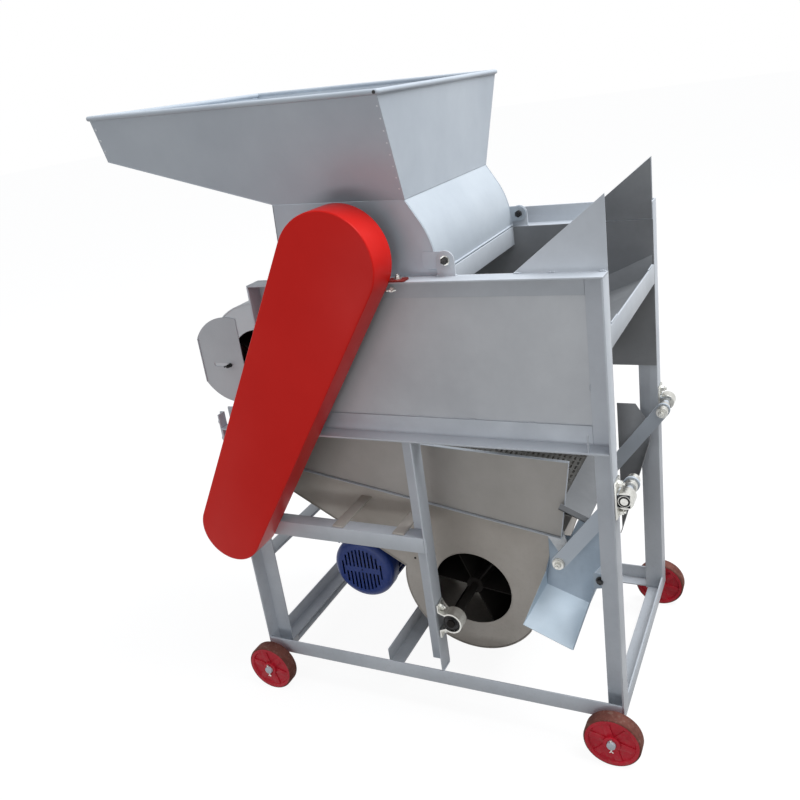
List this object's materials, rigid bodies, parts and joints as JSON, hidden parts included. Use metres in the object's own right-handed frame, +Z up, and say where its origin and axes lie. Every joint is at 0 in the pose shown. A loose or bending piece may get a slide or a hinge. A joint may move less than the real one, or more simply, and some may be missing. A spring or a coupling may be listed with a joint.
{
  "type": "peanut sheller",
  "caption": "Wheeled electric peanut sheller with a tilting hopper over a beater drum, a rocking sieve, fans, belt drives and red belt guards.",
  "frame": {"origin": "middle of the outline on the floor under the wheels", "axes": "+X along the machine towards the outlet end, +Y from the red front guard to the rear belt side, +Z up"},
  "size_m": [1.14, 0.71, 1.513],
  "materials": {
    "frame": "semi-gloss silver grey paint",
    "sheet": "semi-gloss silver grey paint",
    "hopper": "semi-gloss pale blue grey paint",
    "red": "glossy red paint",
    "wheel": "moulded red plastic",
    "blue": "glossy blue paint",
    "steel": "bare turned steel",
    "casting": "painted casting",
    "zinc": "zinc plated",
    "rubber": "black rubber belt"
  },
  "bodies": {
    "machine": {"leg_front_right": "frame", "leg_rear_right": "frame", "leg_front_left": "frame", "leg_rear_left": "frame", "post_front_middle": "frame", "post_rear_middle": "frame", "post_front_box": "frame", "post_rear_box": "frame", "rail_front_top": "frame", "rail_rear_top": "frame", "rail_right_end": "frame", "rail_front_middle": "frame", "rail_rear_middle": "frame", "rail_front_motor": "frame", "rail_rear_motor": "frame", "rail_left_side": "frame", "base_front": "frame", "base_rear": "frame", "base_left": "frame", "base_right": "frame", "base_middle": "frame", "panel_front": "sheet", "panel_rear": "sheet", "outlet_ramp": "sheet", "drum_cross_bar": "frame", "concave_grid": "casting", "rotor_bearing_front": "casting", "rotor_bearing_rear": "casting", "upper_fan_case": "sheet", "lower_fan_case": "sheet", "fan_bearing_front": "zinc", "fan_bearing_rear": "zinc", "motor": "blue", "crank_bearing": "casting", "belt_front": "rubber", "belt_rear": "rubber", "belt_motor": "rubber", "belt_guard_front": "red", "belt_guard_rear": "red", "kernel_chute": "sheet", "rear_shield": "sheet"},
    "tilting_hopper": {"drum_cover": "hopper", "hopper": "hopper"},
    "beater": {"rotor": "steel"},
    "lower_fan_rotor": {"lower_fan": "steel"},
    "upper_fan_rotor": {"upper_fan": "steel"},
    "motor_spindle": {"motor_pulley": "steel"},
    "crank": {"crank_shaft": "steel"},
    "sieve": {"sieve_box": "sheet", "sieve_rod": "zinc"},
    "shutter": {"air_shutter": "frame"},
    "wheel_front_left": {"wheel_front_left": "wheel"},
    "wheel_front_right": {"wheel_front_right": "wheel"},
    "wheel_rear_left": {"wheel_rear_left": "wheel"},
    "wheel_rear_right": {"wheel_rear_right": "wheel"},
    "rocker_front_left": {"rocker_front_left": "zinc"},
    "rocker_front_right": {"rocker_front_right": "zinc"},
    "rocker_rear_left": {"rocker_rear_left": "zinc"},
    "rocker_rear_right": {"rocker_rear_right": "zinc"}
  },
  "joints": [
    {"name": "beater_spin", "type": "hinge", "parent": "machine", "child": "beater", "pos_m": [-0.005, 0.01, 1.165], "axis": [0, 1, 0], "continuous": true},
    {"name": "lower_fan_spin", "type": "hinge", "parent": "machine", "child": "lower_fan_rotor", "pos_m": [0.121, 0.01, 0.274], "axis": [0, 1, 0], "continuous": true},
    {"name": "upper_fan_spin", "type": "hinge", "parent": "machine", "child": "upper_fan_rotor", "pos_m": [-0.311, 0.01, 0.906], "axis": [0, 1, 0], "continuous": true},
    {"name": "motor_spin", "type": "hinge", "parent": "machine", "child": "motor_spindle", "pos_m": [-0.195, 0.196, 0.285], "axis": [0, 1, 0], "continuous": true},
    {"name": "crank_spin", "type": "hinge", "parent": "machine", "child": "crank", "pos_m": [-0.377, -0.274, 0.54], "axis": [0, 1, 0], "continuous": true},
    {"name": "hopper_tilt", "type": "hinge", "parent": "machine", "child": "tilting_hopper", "pos_m": [0.202, 0.01, 1.147], "axis": [0, 1, 0], "range_deg": [0, 60]},
    {"name": "shutter_slide", "type": "slide", "parent": "machine", "child": "shutter", "axis": [1, 0, 0], "range_m": [0, 0.044]},
    {"name": "sieve_shake", "type": "slide", "parent": "machine", "child": "sieve", "axis": [-0.7876, 0, 0.6162], "range_m": [-0.004, 0.004]},
    {"name": "wheel_spin_front_left", "type": "hinge", "parent": "machine", "child": "wheel_front_left", "pos_m": [-0.414, -0.305, 0.065], "axis": [0, 1, 0], "continuous": true},
    {"name": "wheel_spin_front_right", "type": "hinge", "parent": "machine", "child": "wheel_front_right", "pos_m": [0.505, -0.305, 0.065], "axis": [0, 1, 0], "continuous": true},
    {"name": "wheel_spin_rear_left", "type": "hinge", "parent": "machine", "child": "wheel_rear_left", "pos_m": [-0.414, 0.326, 0.065], "axis": [0, 1, 0], "continuous": true},
    {"name": "wheel_spin_rear_right", "type": "hinge", "parent": "machine", "child": "wheel_rear_right", "pos_m": [0.505, 0.326, 0.065], "axis": [0, 1, 0], "continuous": true},
    {"name": "rocker_swing_front_left", "type": "hinge", "parent": "machine", "child": "rocker_front_left", "pos_m": [-0.26, -0.189, 0.731], "axis": [0, 1, 0], "range_deg": [-0.9, 0.9]},
    {"name": "rocker_swing_front_right", "type": "hinge", "parent": "machine", "child": "rocker_front_right", "pos_m": [0.544, -0.189, 0.65], "axis": [0, 1, 0], "range_deg": [-0.9, 0.9]},
    {"name": "rocker_swing_rear_left", "type": "hinge", "parent": "machine", "child": "rocker_rear_left", "pos_m": [-0.26, 0.21, 0.731], "axis": [0, 1, 0], "range_deg": [-0.9, 0.9]},
    {"name": "rocker_swing_rear_right", "type": "hinge", "parent": "machine", "child": "rocker_rear_right", "pos_m": [0.544, 0.21, 0.65], "axis": [0, 1, 0], "range_deg": [-0.9, 0.9]}
  ],
  "couplings": [
    {"joint": "lower_fan_spin", "follows": "beater_spin", "ratio": 4},
    {"joint": "upper_fan_spin", "follows": "beater_spin", "ratio": 4},
    {"joint": "motor_spin", "follows": "beater_spin", "ratio": 5},
    {"joint": "crank_spin", "follows": "beater_spin", "ratio": 1.0909},
    {"joint": "rocker_swing_front_left", "follows": "sieve_shake", "rad_per_m": 3.6462},
    {"joint": "rocker_swing_front_right", "follows": "sieve_shake", "rad_per_m": 3.6462},
    {"joint": "rocker_swing_rear_left", "follows": "sieve_shake", "rad_per_m": 3.6462},
    {"joint": "rocker_swing_rear_right", "follows": "sieve_shake", "rad_per_m": 3.6462}
  ]
}
